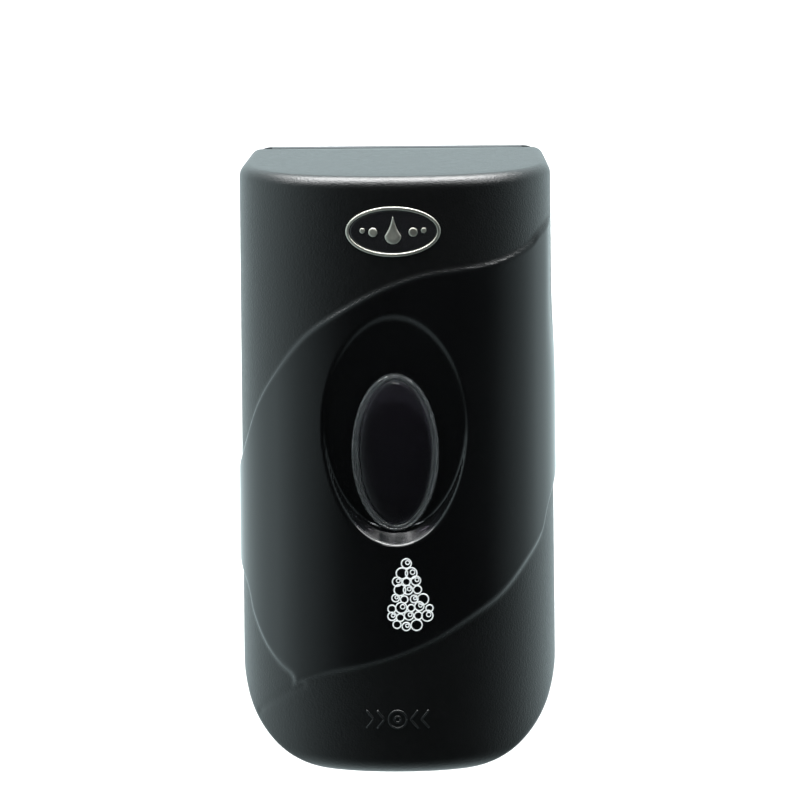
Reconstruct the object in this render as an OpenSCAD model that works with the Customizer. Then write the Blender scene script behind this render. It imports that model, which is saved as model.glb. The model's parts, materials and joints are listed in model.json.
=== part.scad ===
/* [Cover] */
// Width of the cover at its top
width_top = 125; // [124:0.5:126]
// Width of the cover at its bottom
width_bottom = 131; // [130:0.5:132]
// Depth of the cover from the wall at its top
depth_top = 102; // [101:0.5:103]
// Depth of the cover from the wall at its bottom
depth_bottom = 116; // [115:0.5:117]
// Height of the cover
height = 236; // [236:0.5:238]
// Thickness of the moulded walls
wall = 2.5; // [2.3:0.1:2.6]
// Radius along the top edge
top_round = 6; // [5:0.5:7]
// Width of the two rounded bottom corners, seen from the front
corner_w = 48; // [46:1:50]
// Height of the same corners
corner_h = 32; // [30:1:34]

/* [Window] */
// Height of the window's centre above the middle of the cover
window_z = 12; // [11:0.5:13]
// Half width of the window ring
window_rx = 17; // [16.5:0.25:17.5]
// Half height of the window ring
window_rz = 31; // [30:0.5:32]
// Half width of the scooped oval around the window
dish_rx = 29.5; // [29:0.5:30]
// Half height of the scooped oval
dish_rz = 48.5; // [48:0.5:49]

/* [Wall fixing] */
// Distance between the left and right wall screws
screw_span_x = 76; // [74:1:78]
// Distance between the upper and lower wall screws
screw_span_z = 150; // [146:1:152]
// Radius of a wall-screw hole
screw_hole_r = 2.6; // [2.4:0.1:2.8]

/* [Soap tank] */
// Width of the soap tank
tank_w = 91; // [88:1:91]
// Distance of the pump's axis from the wall
pump_d = 58; // [57.5:0.5:58]
// Radius of the refill cap
cap_r = 25; // [24:0.5:26]

/* [Hidden] */

plan_power = 2.25;     // roundness of the cover's D-shaped plan
plan_steps = 36;       // facets round the D
side_top = 52;         // straight part of the D's sides, at the top
side_bottom = 58;      // and at the bottom
z_top = height / 2;
z_bottom = -height / 2;
slice = 0.02;          // thickness of the slices that guide a hull
far = 200;             // beyond every edge of the part
chin_d = 10;           // depth and height of the rounded chin
chin_h = 7.5;
plate_round = 9;       // top corners of the back plate
rear_top = 8;          // gap between the wall and the cover's rear edge, at the top
rear_bottom = 20;      // and at the bottom, where the cover travels inwards
mouth_x = 53;          // half width of the opening in the cover's floor
mouth_h = 15;          // height to which it is cut up into the corners
mouth_d = 83;          // front of that opening
backing = 1.5;         // rim of the thicker wall behind the oval dish

hinge_d = 14;          // axis on which the cover and the press arms turn
hinge_z = z_top - 7.5;
pin_r = 2;
running = 0.05;        // radial clearance of a turning fit
snug = 0.02;           // radial clearance of a fixed fit
knuckle_r = 4.2;
sweep_r = 9.9;         // space that the cover's rear edge sweeps round the hinge
lug_x = 52;            // inner face of the cover's hinge lugs
ear_t = 3;
inner_ear_x = 39;      // inner face of the back plate's inner ears

plate_t = 3;
tray_x = 57.8;         // outer face of the back plate's side walls
tray_d = 24;
boss_r = 7;
boss_t = 2;
cradle_screw_x = 28;
cradle_screw_z = -42;
small_screw_r = 1.5;

arm_x = 48.5;          // inner face of the press arms
bar_d = 84;            // rear face of the crossbar
bar_z = -97;
bar_h = 10;
buffer_x = 30;
buffer_d = 103.5;

rocker_d = 34;         // axis of the pump rocker
rocker_z = -106;
rocker_arm_x = 28;     // inner face of the rocker's upright arms
rocker_arm_t = 4;
rocker_ear_x = 34;
fork_x = 11.5;
bump_r = 3;
bump_z = -98.4;
peg_z = -72;
peg_r = 3.5;
peg_d = 37.2;

shelf_z = -51;         // top face of the shelf under the tank
tank_top = 88;
tank_back = 9;
tank_front = 87;
tank_wall = 2;
fill_d = 48;           // distance of the refill neck's axis from the wall
fill_r = 22;
fill_h = 6;
neck_r = 16;
neck_bore = 13;
neck_end = -63;
flange_z = -95;        // underside of the nozzle's flange
flange_r = 17;
stem_r = 5;
spring_top = -69.1;
cage_z = -25;          // underside of the valve ball's cage

dish_d = 104;          // flat bed of the oval dish
dish_z = window_z + 13;
ring_w = 3;            // width of the window ring
badge_z = z_top - 20.5;
badge_rx = 18;
badge_rz = 9.5;
lock_d = 95;
lock_r = 6;
tongue_z = -104;

function drop(z) = (z_top - z) / height;
function half_w(z) = (width_top + (width_bottom - width_top) * drop(z)) / 2;
function depth_at(z) = depth_top + (depth_bottom - depth_top) * drop(z);
function side_at(z) = side_top + (side_bottom - side_top) * drop(z);
function front_at(x, z) = side_at(z) + (depth_at(z) - side_at(z))
    * pow(1 - pow(abs(x) / half_w(z), plan_power), 1 / plan_power);
function plan(z, inset) =
    let (a = half_w(z) - inset, s = side_at(z), b = depth_at(z) - inset - s)
    concat(
        [[a, 0]],
        [for (i = [0:plan_steps]) let (t = 180 * i / plan_steps, c = cos(t))
            [sign(c) * a * pow(abs(c), 2 / plan_power), s + b * pow(sin(t), 2 / plan_power)]],
        [[-a, 0]]);
function corner_trim(h) = h < corner_h
    ? corner_w * (1 - sqrt(1 - pow((corner_h - h) / corner_h, 2))) : 0;
function chin_trim(h) = h < chin_h ? chin_d * (1 - sqrt(1 - pow((chin_h - h) / chin_h, 2))) : 0;

// Turns a shape drawn with y as the distance from the wall into the part's own frame.
module placed() mirror([0, 1, 0]) children();

module both_sides() {
    children();
    mirror([1, 0, 0]) children();
}

// Extrudes an outline of (distance from the wall, height) along x.
module across(x, length)
    translate([x, 0, 0]) rotate([90, 0, 90]) linear_extrude(length) children();

// Extrudes an outline of (x, height) away from the wall.
module panel(d, t)
    translate([0, d + t, 0]) rotate([90, 0, 0]) linear_extrude(t) children();

module rod(x, length, r, d, z)
    translate([x, d, z]) rotate([0, 90, 0]) cylinder(h = length, r = r, $fn = 48);

// A screw or hole that points away from the wall.
module peg(x, z, d, length, r)
    translate([x, d + length, z]) rotate([90, 0, 0]) cylinder(h = length, r = r, $fn = 48);

// An upright oval bar that runs from distance d0 to d1.
module oval(rx, rz, z, d0, d1)
    translate([0, d1, z]) rotate([90, 0, 0]) scale([rx, rz, 1])
        cylinder(h = d1 - d0, r = 1, $fn = 96);

module oval_ring(rx, rz, w, z, d0, d1) difference() {
    oval(rx, rz, z, d0, d1);
    oval(rx - w, rz - w, z, d0 - 1, d1 + 1);
}

module tube(z0, z1, r_out, r_in) difference() {
    translate([0, 0, z0]) cylinder(h = z1 - z0, r = r_out, $fn = 96);
    translate([0, 0, z0 - 1]) cylinder(h = z1 - z0 + 2, r = r_in, $fn = 96);
}

module disc(z0, z1, r) translate([0, 0, z0]) cylinder(h = z1 - z0, r = r, $fn = 96);

module on_pump() translate([0, pump_d, 0]) children();
module on_fill() translate([0, fill_d, 0]) children();
module on_lock() translate([0, lock_d, 0]) children();

// A round-wire coil along z.
module coil(mean_r, wire_r, turns, length, steps = 24, sides = 10) {
    n = turns * steps;
    points = [for (i = [0:n]) for (j = [0:sides - 1])
        let (a = 360 * i / steps, b = 360 * j / sides, r = mean_r + wire_r * cos(b))
        [r * cos(a), r * sin(a), wire_r + (length - 2 * wire_r) * i / n + wire_r * sin(b)]];
    walls = [for (i = [0:n - 1]) for (j = [0:sides - 1]) let (k = (j + 1) % sides)
        [i * sides + j, i * sides + k, (i + 1) * sides + k, (i + 1) * sides + j]];
    ends = [[for (j = [0:sides - 1]) sides - 1 - j], [for (j = [0:sides - 1]) n * sides + j]];
    polyhedron(points = points, faces = concat(walls, ends), convexity = 10);
}

// ---- Cover ----

// One thin slice of the cover's outline, no wider than its limit each side.
module slice_at(z, inset, x_limit)
    translate([0, 0, z]) linear_extrude(slice) intersection() {
        polygon(plan(z, inset));
        translate([-x_limit, 0]) square([2 * x_limit, far]);
    }

// A slice low on the cover, trimmed by the bottom corners and drawn in by the chin.
module low_slice(h, inset)
    slice_at(z_bottom + h, inset + chin_trim(h), half_w(z_bottom + h) - inset - corner_trim(h));

module cover_form(inset) hull() {
    r = top_round - inset * 0.6;
    for (a = [0:30:90])
        slice_at(z_top - inset - slice - r + r * sin(a), inset + r * (1 - cos(a)), far);
    for (a = [0:15:90])
        low_slice(corner_h * (1 - sin(a)), inset);
    low_slice(chin_h / 2, inset);
}

module hinge_lug() difference() {
    union() {
        rod(lug_x, ear_t, knuckle_r, hinge_d, hinge_z);
        across(lug_x, ear_t) polygon([
            [hinge_d - knuckle_r, hinge_z], [hinge_d - knuckle_r, z_top - wall + 0.5],
            [hinge_d + 14, z_top - wall + 0.5], [hinge_d + knuckle_r, hinge_z]]);
    }
    rod(lug_x - 1, ear_t + 2, pin_r + running, hinge_d, hinge_z);
}

// Gusset inside the cover where its roof meets its front.
module roof_rib(x) {
    front = front_at(x, z_top - top_round) - wall;
    across(x - 0.8, 1.6) polygon([[34, z_top - wall + 0.5], [34, z_top - wall - 2.5],
        [front - 6, z_top - wall - 2.5], [front - 2.5, z_top - 16],
        [front + 0.4, z_top - 20], [front - 3, z_top - wall + 0.5]]);
}

module front_cover() color("#17181a") {
    difference() {
        union() {
            difference() {
                cover_form(0);
                intersection() {
                    cover_form(wall);
                    translate([-far, -1, z_bottom + wall]) cube([2 * far, far, height]);
                }
            }
            intersection() {
                cover_form(wall / 2);
                oval(dish_rx + backing, dish_rz + backing, dish_z, dish_d - wall, dish_d + 10);
            }
        }
        oval(dish_rx, dish_rz, dish_z, dish_d, far);
        oval(window_rx - ring_w + 0.5, window_rz - ring_w + 0.5, window_z, 60, far);
        oval(window_rx, window_rz, window_z, dish_d - 1, far);
        oval(badge_rx + 0.1, badge_rz + 0.1, badge_z, depth_at(badge_z) - 1.5, far);
        translate([-mouth_x, -1, z_bottom - 1]) cube([2 * mouth_x, mouth_d + 1, mouth_h + 1]);
        on_lock() disc(z_bottom - 1, z_bottom + wall + 1, lock_r + 2);
        across(-far, 2 * far) polygon([[-1, z_top + 1], [rear_top, z_top + 1],
            [rear_bottom, z_bottom - 1], [-1, z_bottom - 1]]);
    }
    both_sides() {
        hinge_lug();
        roof_rib(36);
    }
}

module window_seal() color("#202022")
    oval_ring(window_rx - 0.5, window_rz - 0.5, 2, window_z, dish_d - wall - 0.9, dish_d - wall);

module window_ring() color("#c9d2d4")
    oval_ring(window_rx - 0.1, window_rz - 0.1, ring_w, window_z, dish_d - 0.95, dish_d + 1.8);

module window_lens() color("#8f9aa1", 0.5) {
    oval(window_rx - ring_w - 0.3, window_rz - ring_w - 0.3, window_z,
        dish_d - wall - 2, dish_d + 2.4);
    oval(window_rx - 0.8, window_rz - 0.8, window_z, dish_d - wall - 2.6, dish_d - wall - 0.9);
}

module badge() color("#b3b1a2") difference() {
    oval(badge_rx, badge_rz, badge_z, depth_at(badge_z) - 1.45, depth_at(badge_z) + 0.6);
    oval(badge_rx - 1.3, badge_rz - 1.3, badge_z, depth_at(badge_z) + 0.2, far);
}

// ---- Lock in the cover's floor ----

module lock_bush() color("#2a2b2d") on_lock() {
    tube(z_bottom + 0.1, z_bottom + 11, lock_r + 1.9, lock_r + running);
    tube(z_bottom + wall, z_bottom + wall + 1.5, lock_r + 4, lock_r + running);
}

module lock_barrel() color("#9a9c9e") on_lock() difference() {
    union() {
        disc(z_bottom + 0.4, tongue_z, lock_r);
        disc(tongue_z, tongue_z + 5, 2.5);
    }
    translate([-0.8, -3.5, z_bottom - 1]) cube([1.6, 7, 8]);
}

module lock_tongue() color("#8d8f92") on_lock() translate([0, 0, tongue_z]) difference() {
    union() {
        disc(0, 2, 5);
        translate([-3, -13, 0]) cube([6, 13, 2]);
    }
    disc(-1, 3, 2.5 + snug);
}

module lock_nut() color("#a8aaac") on_lock() translate([0, 0, tongue_z + 2]) difference() {
    cylinder(h = 2.5, r = 4.4, $fn = 6);
    disc(-1, 4, 2.5 + snug);
}

// ---- Back plate and hinge ----

module plate_outline() hull() {
    for (x = [-1, 1]) {
        translate([x * (half_w(z_top) - plate_round), z_top - plate_round])
            circle(r = plate_round, $fn = 64);
        translate([x * (half_w(z_bottom) - corner_w), z_bottom + corner_h])
            scale([1, corner_h / corner_w]) circle(r = corner_w, $fn = 128);
    }
}

module back_plate() color("#26272a") difference() {
    union() {
        panel(0, plate_t) plate_outline();
        // roof strip that closes the gap above the hinge
        across(-53, 106) polygon([[2.5, z_top - 16], [2.5, z_top], [rear_top - 1.8, z_top],
            [rear_top - 1.8, z_top - 6], [5, z_top - 14]]);
        for (x = [-screw_span_x / 2, screw_span_x / 2], z = [-screw_span_z / 2, screw_span_z / 2])
            peg(x, z, plate_t - 0.5, boss_t + 0.5, boss_r);
        both_sides() {
            // side wall with the outer hinge ear
            across(tray_x - wall, wall) polygon([
                [2.5, -98], [2.5, z_top - 18], [8, z_top - 17.5], [10.5, hinge_z - 4],
                [hinge_d + knuckle_r, hinge_z - 4], [tray_d, z_top - 20], [tray_d, -88],
                [14, -98]]);
            rod(tray_x - wall, wall, knuckle_r, hinge_d, hinge_z);
            // inner hinge ear
            across(inner_ear_x, ear_t) polygon([
                [2.5, tank_top + 2], [2.5, z_top - 18], [8, z_top - 17.5], [10.5, hinge_z - 4],
                [hinge_d + knuckle_r, hinge_z], [hinge_d + knuckle_r, z_top - 15],
                [16, z_top - 21], [8.4, z_top - 23], [8.4, tank_top + 2]]);
            rod(inner_ear_x, ear_t, knuckle_r, hinge_d, hinge_z);
            // ear for the pump rocker's pin
            across(rocker_ear_x, 3.5) polygon([[2.5, -94], [2.5, -112],
                [rocker_d - 2, rocker_z - 5], [rocker_d + 5, rocker_z - 5],
                [rocker_d + 5, rocker_z + 5], [rocker_d - 6, rocker_z + 6]]);
            // stiffening ribs
            for (x = [8, 22])
                translate([x, 2.5, -28]) cube([1.6, 3, 110]);
        }
    }
    // space swept by the cover's rear edge
    difference() {
        rod(-far, 2 * far, sweep_r, hinge_d, hinge_z);
        rod(-far, 2 * far, knuckle_r + 0.01, hinge_d, hinge_z);
        across(-far, 2 * far) polygon([[hinge_d, hinge_z], [hinge_d - 9.5, hinge_z - 10.8],
            [hinge_d - 9.5, hinge_z - 20], [hinge_d + 20, hinge_z - 20],
            [hinge_d + 20, hinge_z]]);
    }
    both_sides() {
        rod(inner_ear_x - 1, tray_x - inner_ear_x + 2, pin_r + snug, hinge_d, hinge_z);
        rod(rocker_ear_x - 1, 6, pin_r + snug, rocker_d, rocker_z);
        peg(cradle_screw_x, cradle_screw_z, 0.6, 8, small_screw_r + snug);
        for (z = [-screw_span_z / 2, screw_span_z / 2])
            peg(screw_span_x / 2, z, -1, plate_t + boss_t + 2, screw_hole_r);
    }
}

module hinge_pins() color("#b9bcbf") both_sides()
    rod(inner_ear_x, tray_x - inner_ear_x, pin_r, hinge_d, hinge_z);

module torsion_springs() color("#8b8d90") both_sides() {
    x0 = inner_ear_x + ear_t + 0.3;
    translate([x0, hinge_d, hinge_z]) rotate([0, 90, 0]) coil(3.1, 0.6, 4, 5.6);
    // leg that bears on the back plate
    translate([x0 + 0.7, hinge_d - 0.6, hinge_z - 2.9]) rotate([140, 0, 0])
        cylinder(h = 14.8, r = 0.6, $fn = 24);
    // leg that bears on the press arm
    translate([x0 + 5, hinge_d + 2.9, hinge_z - 0.5]) rotate([176, 0, 0])
        cylinder(h = 17, r = 0.6, $fn = 24);
}

module rocker_pin() color("#b9bcbf") rod(-38.5, 77, pin_r, rocker_d, rocker_z);

module tank_cradle() color("#303236") difference() {
    union() {
        translate([-47.5, plate_t, shelf_z - 3]) cube([95, 77, 2.9]);
        translate([-42, plate_t, shelf_z - 1]) cube([84, 3, 18]);
        both_sides() {
            translate([46, 12, shelf_z - 1]) cube([1.5, 58, 7]);
            across(38.5, 3) polygon([[plate_t, shelf_z - 2], [plate_t, -66], [20, shelf_z - 2]]);
        }
    }
    on_pump() disc(shelf_z - 5, shelf_z + 2, 21.5);
    translate([-21.5, pump_d, shelf_z - 5]) cube([43, far, 7]);
    both_sides() peg(cradle_screw_x, cradle_screw_z, 0, 8, small_screw_r + snug);
}

module cradle_screws() color("#b9bcbf") both_sides() difference() {
    union() {
        peg(cradle_screw_x, cradle_screw_z, 0.8, 6, small_screw_r);
        peg(cradle_screw_x, cradle_screw_z, 2 * plate_t, 1.8, 3.2);
    }
    translate([cradle_screw_x, 2 * plate_t + 1.4, cradle_screw_z]) cube([4, 1.6, 0.8], center = true);
    translate([cradle_screw_x, 2 * plate_t + 1.4, cradle_screw_z]) cube([0.8, 1.6, 4], center = true);
}

// ---- Press frame ----

module press_arms() color("#34363a") both_sides() difference() {
    union() {
        rod(arm_x, ear_t, knuckle_r, hinge_d, hinge_z);
        across(arm_x, ear_t) polygon([
            [hinge_d - knuckle_r, hinge_z], [hinge_d + knuckle_r, hinge_z], [33, -50],
            [44, -66], [90, -85], [90, -98], [72, -98], [30, -84], [19, -76], [17, -50]]);
        rod(rocker_arm_x + 0.5, arm_x - rocker_arm_x, peg_r, peg_d, peg_z);
    }
    rod(arm_x - 1, ear_t + 2, pin_r + running, hinge_d, hinge_z);
    for (z = [bar_z + 2.5, bar_z + 7.5])
        rod(arm_x - 1, ear_t + 2, small_screw_r + snug, bar_d + 2.5, z);
    // lightening slots
    across(arm_x - 1, ear_t + 2) polygon([[18.5, 80], [20.5, 80], [27.5, -45], [20, -45]]);
}

module press_crossbar() color("#34363a") difference() {
    union() {
        translate([-arm_x, bar_d, bar_z]) cube([2 * arm_x, 5, bar_h]);
        translate([-arm_x, bar_d + 5, bar_z + 4]) cube([2 * arm_x, 4, 2]);
        both_sides() {
            translate([buffer_x - 4, bar_d + 5, bar_z]) cube([8, buffer_d - bar_d - 5, bar_h]);
            // strike for the lock tongue
            translate([8, bar_d + 5, bar_z + 4]) cube([10, 12.5, 6]);
        }
        translate([8, 99, -105]) cube([10, 2.5, 14]);
    }
    both_sides() for (z = [bar_z + 2.5, bar_z + 7.5])
        rod(arm_x - 9, 10, small_screw_r + snug, bar_d + 2.5, z);
}

module crossbar_screws() color("#b9bcbf") both_sides() for (z = [bar_z + 2.5, bar_z + 7.5])
    difference() {
        union() {
            rod(arm_x - 8, 8 + ear_t + 0.5, small_screw_r, bar_d + 2.5, z);
            rod(arm_x + ear_t, 1.4, 2.3, bar_d + 2.5, z);
        }
        translate([arm_x + ear_t + 1.2, bar_d + 2.5, z]) cube([1.2, 0.7, 3], center = true);
    }

module press_buffers() color("#3a3a3a") both_sides()
    peg(buffer_x, bar_z + bar_h / 2, buffer_d, 2, 3.6);

module pump_rocker() color("#cfcac0") difference() {
    union() {
        rod(-33.5, 67, 4.5, rocker_d, rocker_z);
        both_sides() {
            across(rocker_arm_x, rocker_arm_t) polygon([
                [rocker_d - 4, rocker_z], [27, -68], [33.3, -68], [33.3, -76],
                [rocker_d + 4, rocker_z]]);
            across(fork_x, rocker_arm_t) polygon([
                [rocker_d, rocker_z - 4.3], [rocker_d, rocker_z + 4.3], [pump_d - 6, -100.6],
                [pump_d + 3, -100], [pump_d + 3, -104]]);
            rod(fork_x, rocker_arm_t, bump_r, pump_d, bump_z);
        }
    }
    rod(-far / 2, far, pin_r + running, rocker_d, rocker_z);
}

// ---- Soap tank and pump ----

module tank_outline(inset) hull() for (x = [-1, 1]) {
    translate([x * (tank_w / 2 - 6), tank_back + 6]) circle(r = 6 - inset, $fn = 32);
    translate([x * (tank_w / 2 - 26), tank_front - 26]) circle(r = 26 - inset, $fn = 64);
}

module soap_tank() color("#5c5863", 0.8) difference() {
    union() {
        translate([0, 0, shelf_z]) linear_extrude(tank_top - shelf_z) tank_outline(0);
        on_pump() disc(neck_end, shelf_z + 1, neck_r);
        on_fill() disc(tank_top - 1, tank_top + fill_h, fill_r);
        // locating ribs round the tank's foot
        translate([0, 0, shelf_z + 8]) linear_extrude(1.5) tank_outline(-0.4);
    }
    translate([0, 0, shelf_z + tank_wall])
        linear_extrude(tank_top - shelf_z - 2 * tank_wall) tank_outline(tank_wall);
    on_pump() disc(neck_end - 1, shelf_z + 5, neck_bore);
    on_fill() disc(tank_top - 5, tank_top + fill_h + 1, fill_r - 4);
}

module refill_cap() color("#1e1f21") on_fill() {
    difference() {
        union() {
            disc(tank_top + 0.5, tank_top + fill_h + 4, cap_r);
            for (a = [0:15:345]) rotate(a)
                translate([cap_r - 0.4, -0.8, tank_top + 1]) cube([1, 1.6, fill_h + 2]);
        }
        disc(tank_top, tank_top + fill_h + 1, fill_r + 0.4);
        // finger grip
        difference() {
            disc(tank_top + fill_h + 2.5, tank_top + fill_h + 5, cap_r - 4);
            translate([-2.5, -far / 2, tank_top]) cube([5, far, 20]);
        }
    }
}

module cap_seal() color("#7b7d80") on_fill()
    tube(tank_top + fill_h, tank_top + fill_h + 0.95, fill_r - 0.5, fill_r - 3.5);

module neck_gasket() color("#7b7d80") on_pump()
    tube(neck_end - 1, neck_end, neck_r - 0.3, neck_bore);

module pump_collar() color("#e4e2dc") on_pump() {
    tube(neck_end - 3, shelf_z - 1, 20, neck_r + 0.2);
    tube(neck_end - 6, neck_end - 3, 20, 9);
    for (a = [0:15:345]) rotate(a)
        translate([19.5, -0.8, neck_end - 5]) cube([1.3, 1.6, 15]);
}

module pump_cylinder() color("#e8e6e0") on_pump() difference() {
    union() {
        disc(neck_end - 3, neck_end - 1, neck_r - 0.2);
        disc(neck_end - 6, neck_end - 3, 8);
        disc(neck_end - 1.5, -14, 12.5);
    }
    difference() {
        disc(neck_end - 1, -16, 10.5);
        // cage for the valve ball
        difference() {
            disc(cage_z, -15, 5);
            disc(cage_z + 1, -14, 3.5);
            for (a = [0, 60, 120]) rotate(a)
                translate([-6, -1, cage_z + 2]) cube([12, 2, 6]);
        }
    }
    disc(neck_end - 7, neck_end, stem_r + running);
    disc(cage_z - 1, -13, 2);
    for (a = [0:60:300]) rotate(a) translate([8, 0, -17]) cylinder(h = 4, r = 1, $fn = 24);
}

module pump_spring() color("#b9bcbf") on_pump()
    translate([0, 0, flange_z + 3.1]) coil(7, 0.8, 6, spring_top - flange_z - 3.1);

module valve_ball() color("#d8dadd") on_pump()
    translate([0, 0, cage_z + 3.6]) sphere(r = 3.2, $fn = 48);

module nozzle() color("#e8e6e0") on_pump() rotate_extrude($fn = 96) polygon([
    [stem_r + snug, flange_z + 3], [flange_r - 1, flange_z + 3], [flange_r, flange_z + 2],
    [flange_r, flange_z], [10, flange_z], [9.5, flange_z - 8], [7, flange_z - 14],
    [6.2, flange_z - 19], [4.2, flange_z - 19], [4.2, flange_z - 13], [6, flange_z - 13],
    [6, flange_z - 3], [stem_r + snug, flange_z - 3]]);

module piston_stem() color("#dedcd5") on_pump() difference() {
    union() {
        disc(flange_z - 3, -40, stem_r);
        disc(-40, -38, stem_r - 1);
    }
    disc(flange_z - 4, -41, 2.5);
    translate([-6, -1.2, -44]) cube([12, 2.4, 3]);
}

module piston_cup() color("#c7ccd0") on_pump() rotate_extrude($fn = 96) polygon([
    [stem_r + snug, -46], [9, -46], [10.3, -48], [10.4, -46], [9.8, -43], [10.4, -40],
    [10.2, -39], [8.6, -42], [stem_r + snug, -42]]);

module stem_ring() color("#dedcd5") on_pump() tube(-48.5, -46.1, 6.8, stem_r + snug);

module foam_screens() color("#aab0b4") on_pump() {
    tube(flange_z - 12.8, flange_z - 3.2, 5.9, 4.6);
    for (z = [flange_z - 11, flange_z - 6]) tube(z, z + 0.5, 4.7, 0.6);
    for (z = [flange_z - 11, flange_z - 6], a = [0:30:150]) rotate(a)
        translate([-4.7, -0.2, z]) cube([9.4, 0.4, 0.5]);
}

placed() back_plate();
placed() tank_cradle();
placed() cradle_screws();
placed() hinge_pins();
placed() torsion_springs();
placed() rocker_pin();
placed() press_arms();
placed() press_crossbar();
placed() crossbar_screws();
placed() press_buffers();
placed() front_cover();
placed() window_seal();
placed() window_ring();
placed() window_lens();
placed() badge();
placed() lock_bush();
placed() lock_barrel();
placed() lock_tongue();
placed() lock_nut();
placed() pump_rocker();
placed() soap_tank();
placed() neck_gasket();
placed() pump_collar();
placed() pump_cylinder();
placed() pump_spring();
placed() valve_ball();
placed() refill_cap();
placed() cap_seal();
placed() nozzle();
placed() piston_stem();
placed() piston_cup();
placed() stem_ring();
placed() foam_screens();
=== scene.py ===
"""Visual model of a wall mounted foam soap dispenser, built round the CAD frame.

The cover, window and badge are rebuilt here; everything behind them stays a CAD node and gets
its finish. Lengths are in millimetres up to the point where MM turns them into metres.
"""

import json
import math

import bmesh
import bpy
import numpy as np
from mathutils import Euler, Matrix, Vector


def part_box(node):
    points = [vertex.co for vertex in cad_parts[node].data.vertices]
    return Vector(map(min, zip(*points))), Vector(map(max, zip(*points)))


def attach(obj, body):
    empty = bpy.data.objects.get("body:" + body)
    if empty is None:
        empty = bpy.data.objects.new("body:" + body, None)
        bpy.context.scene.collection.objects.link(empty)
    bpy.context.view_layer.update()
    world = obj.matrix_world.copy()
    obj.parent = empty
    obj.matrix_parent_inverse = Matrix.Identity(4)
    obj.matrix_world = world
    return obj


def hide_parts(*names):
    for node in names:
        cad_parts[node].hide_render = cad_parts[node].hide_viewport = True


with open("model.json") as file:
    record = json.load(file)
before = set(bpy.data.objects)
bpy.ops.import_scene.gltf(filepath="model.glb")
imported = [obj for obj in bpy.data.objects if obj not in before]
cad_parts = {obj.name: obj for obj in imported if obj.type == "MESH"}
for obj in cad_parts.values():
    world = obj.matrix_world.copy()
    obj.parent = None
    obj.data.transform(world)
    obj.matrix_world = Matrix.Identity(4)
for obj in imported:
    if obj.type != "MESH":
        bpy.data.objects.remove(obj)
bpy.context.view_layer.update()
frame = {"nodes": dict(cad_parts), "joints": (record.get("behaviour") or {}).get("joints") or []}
MM = 0.001

# ---- The cover's form, in millimetres; d is the distance from the wall, so y = -d ----

cover_lo, cover_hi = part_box("front_cover")
Z_TOP = cover_hi.z / MM
Z_BOTTOM = cover_lo.z / MM
HEIGHT = Z_TOP - Z_BOTTOM
HALF_BOTTOM = cover_hi.x / MM
HALF_TOP = HALF_BOTTOM - 3
DEPTH_BOTTOM = 116.0
DEPTH_TOP = 102.0
SIDE_BOTTOM, SIDE_TOP = 58.0, 52.0      # straight part of the D's sides
PLAN_POWER = 2.25
CORNER_W, CORNER_H = 48.0, 31.0         # bottom corners seen from the front
CHIN_D, CHIN_H = 10.0, 8.5
REAR_TOP, REAR_BOTTOM = 8.0, 20.0
ROOF_ROUND = 4.6
WALL = 2.5
LEAF_RISE = 1.1
DISH_D, DISH_Z, DISH_RX, DISH_RZ = 104.0, 24.5, 31.0, 49.4
WINDOW_Z, WINDOW_RX, WINDOW_RZ = 11.4, 17.0, 31.4
BADGE_Z, BADGE_RX, BADGE_RZ = 97.5, 18.0, 9.5
MOUTH_X, MOUTH_D, MOUTH_H = 53.0, 83.0, 15.0   # opening under the pump
WINDOW_LAP = 1.4                        # how far the ring covers the edge of its hole
LENS_INSET = 3.1                        # from the ring's outer edge to the lens
LOCK_HOLE = 7.4                         # radius of the hole for the lock's bush
LEAF_SPREAD = 64 / 63.5                 # widens the leaf's drawing a little


def drop(z):
    return (Z_TOP - z) / HEIGHT


def half_w(z):
    return HALF_TOP + (HALF_BOTTOM - HALF_TOP) * drop(z)


def depth_at(z):
    return DEPTH_TOP + (DEPTH_BOTTOM - DEPTH_TOP) * drop(z)


def side_at(z):
    return SIDE_TOP + (SIDE_BOTTOM - SIDE_TOP) * drop(z)


def rear_at(z):
    return REAR_TOP + (REAR_BOTTOM - REAR_TOP) * drop(z)


def smin(a, b, k):
    """The smaller of a and b, with the corner between them rounded over k."""
    h = np.clip(0.5 + 0.5 * (b - a) / k, 0, 1)
    return b * (1 - h) + a * h - k * h * (1 - h)


def smooth(t):
    t = np.clip(t, 0, 1)
    return t * t * (3 - 2 * t)


def front_at(x, z):
    """Depth of the plain curved front, without leaf or scoop."""
    s = side_at(z)
    r = np.clip(np.abs(x) / half_w(z), 0, 0.9999)
    return s + (depth_at(z) - s) * (1 - r ** PLAN_POWER) ** (1 / PLAN_POWER)


# ---- The polished leaf that wraps round the cover, drawn on the unrolled skin ----

FRONT_REACH = 56.0                      # how far the curved front stands out from the sides
_t = np.linspace(0, np.pi / 2, 600)
_quarter_x = HALF_BOTTOM * np.cos(_t)[::-1] ** (2 / PLAN_POWER)
_quarter_d = FRONT_REACH * np.sin(_t)[::-1] ** (2 / PLAN_POWER)
_steps = np.hypot(np.diff(_quarter_x), np.diff(_quarter_d))
_quarter_arc = np.concatenate([[0], np.cumsum(_steps)])


def unroll(x):
    """Arc length from the cover's middle to where its front is x from the middle."""
    return np.sign(x) * np.interp(np.abs(x) * LEAF_SPREAD, _quarter_x, _quarter_arc)


def spline(points, steps=14):
    p = np.array(points, float)
    out = []
    for i in range(1, len(p) - 2):
        for t in np.linspace(0, 1, steps, endpoint=False):
            a, b, c, d = p[i - 1:i + 3]
            out.append(0.5 * (2 * b + (c - a) * t + (2 * a - 5 * b + 4 * c - d) * t * t
                              + (3 * b - a - 3 * c + d) * t ** 3))
    out.append(p[-2])
    return np.array(out)


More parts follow.
